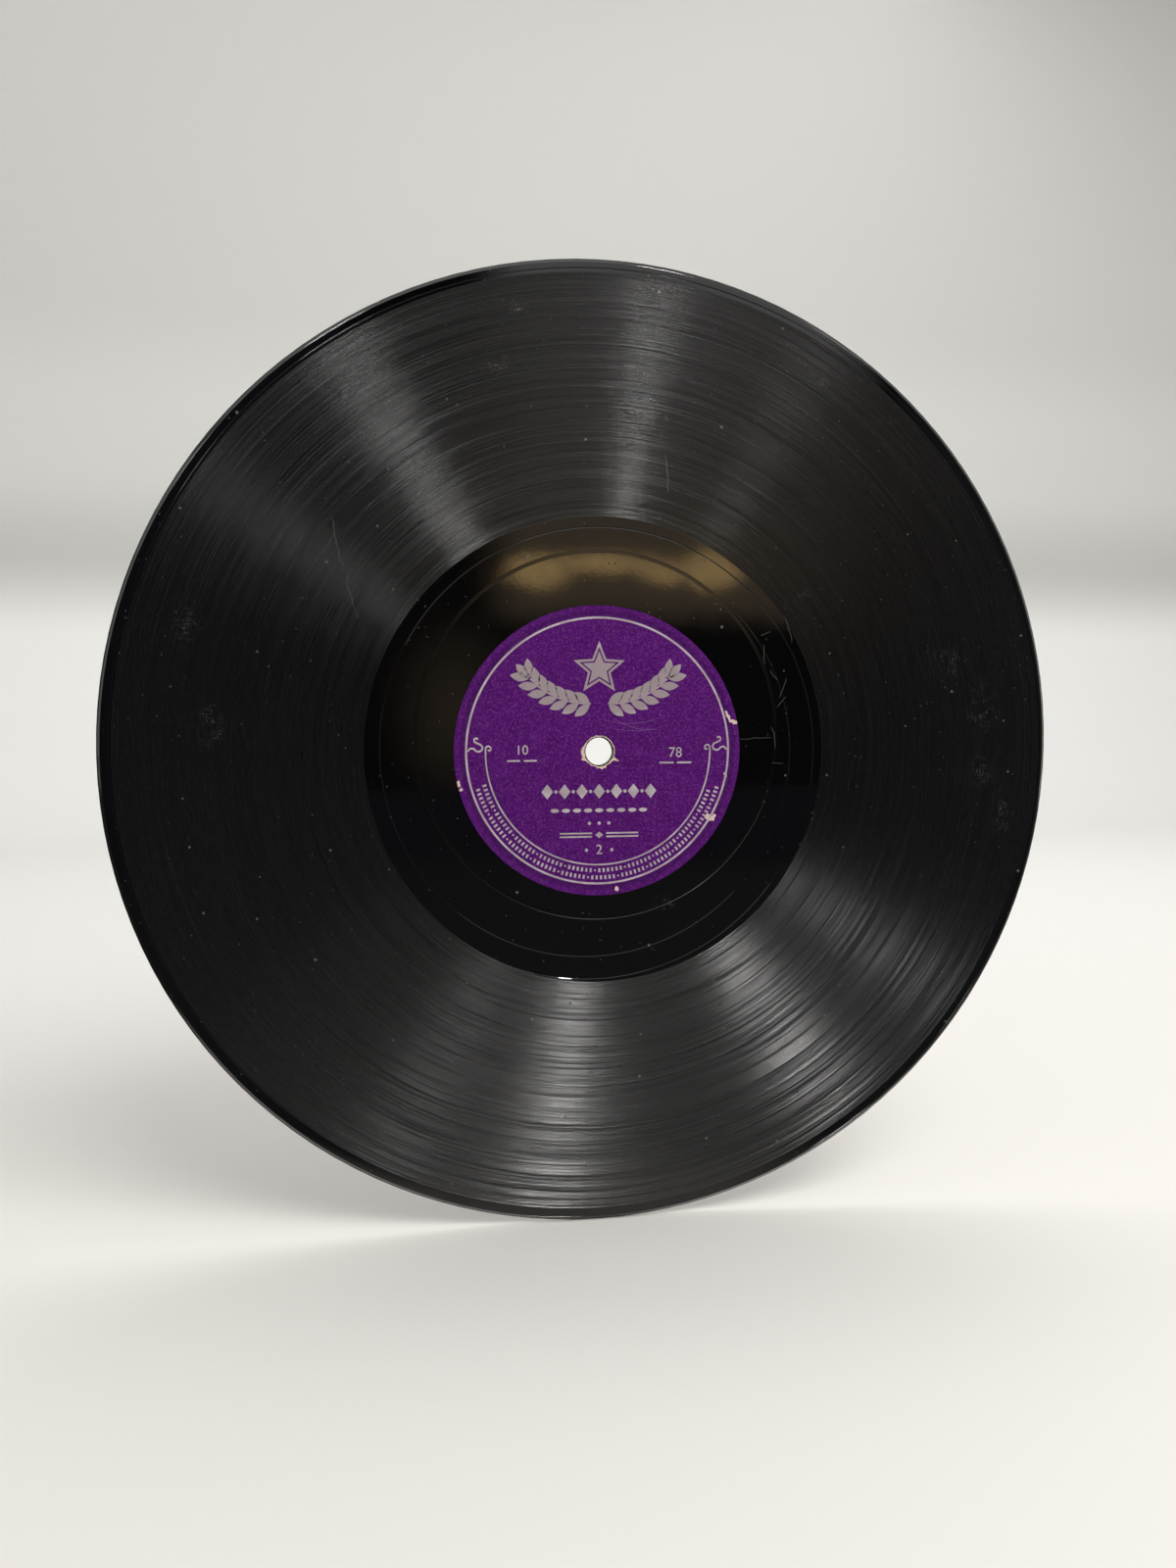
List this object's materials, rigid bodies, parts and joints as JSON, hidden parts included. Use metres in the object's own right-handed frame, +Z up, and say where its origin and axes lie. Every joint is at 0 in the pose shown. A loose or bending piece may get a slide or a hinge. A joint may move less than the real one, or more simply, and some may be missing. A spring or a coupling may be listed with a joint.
{
  "type": "shellac record",
  "caption": "Grooved disc record of dark shellac with a spindle hole, a rounded rim, a run-out groove and a purple paper label set flush in each face.",
  "frame": {"origin": "middle of the spindle hole, halfway through the disc", "axes": "+Y along the spindle hole from the front face to the back face, +Z up with the record standing on its rim, +X to the right seen from the front"},
  "size_m": [0.2524, 0.0022, 0.2524],
  "materials": {
    "shellac": "pressed shellac compound, glossy on the plain lands and satin on the grooves",
    "label_paper": "uncoated purple paper pressed into the disc, with silver print"
  },
  "bodies": {
    "root": {"record_disc": "shellac", "front_label": "label_paper", "back_label": "label_paper"}
  },
  "joints": []
}
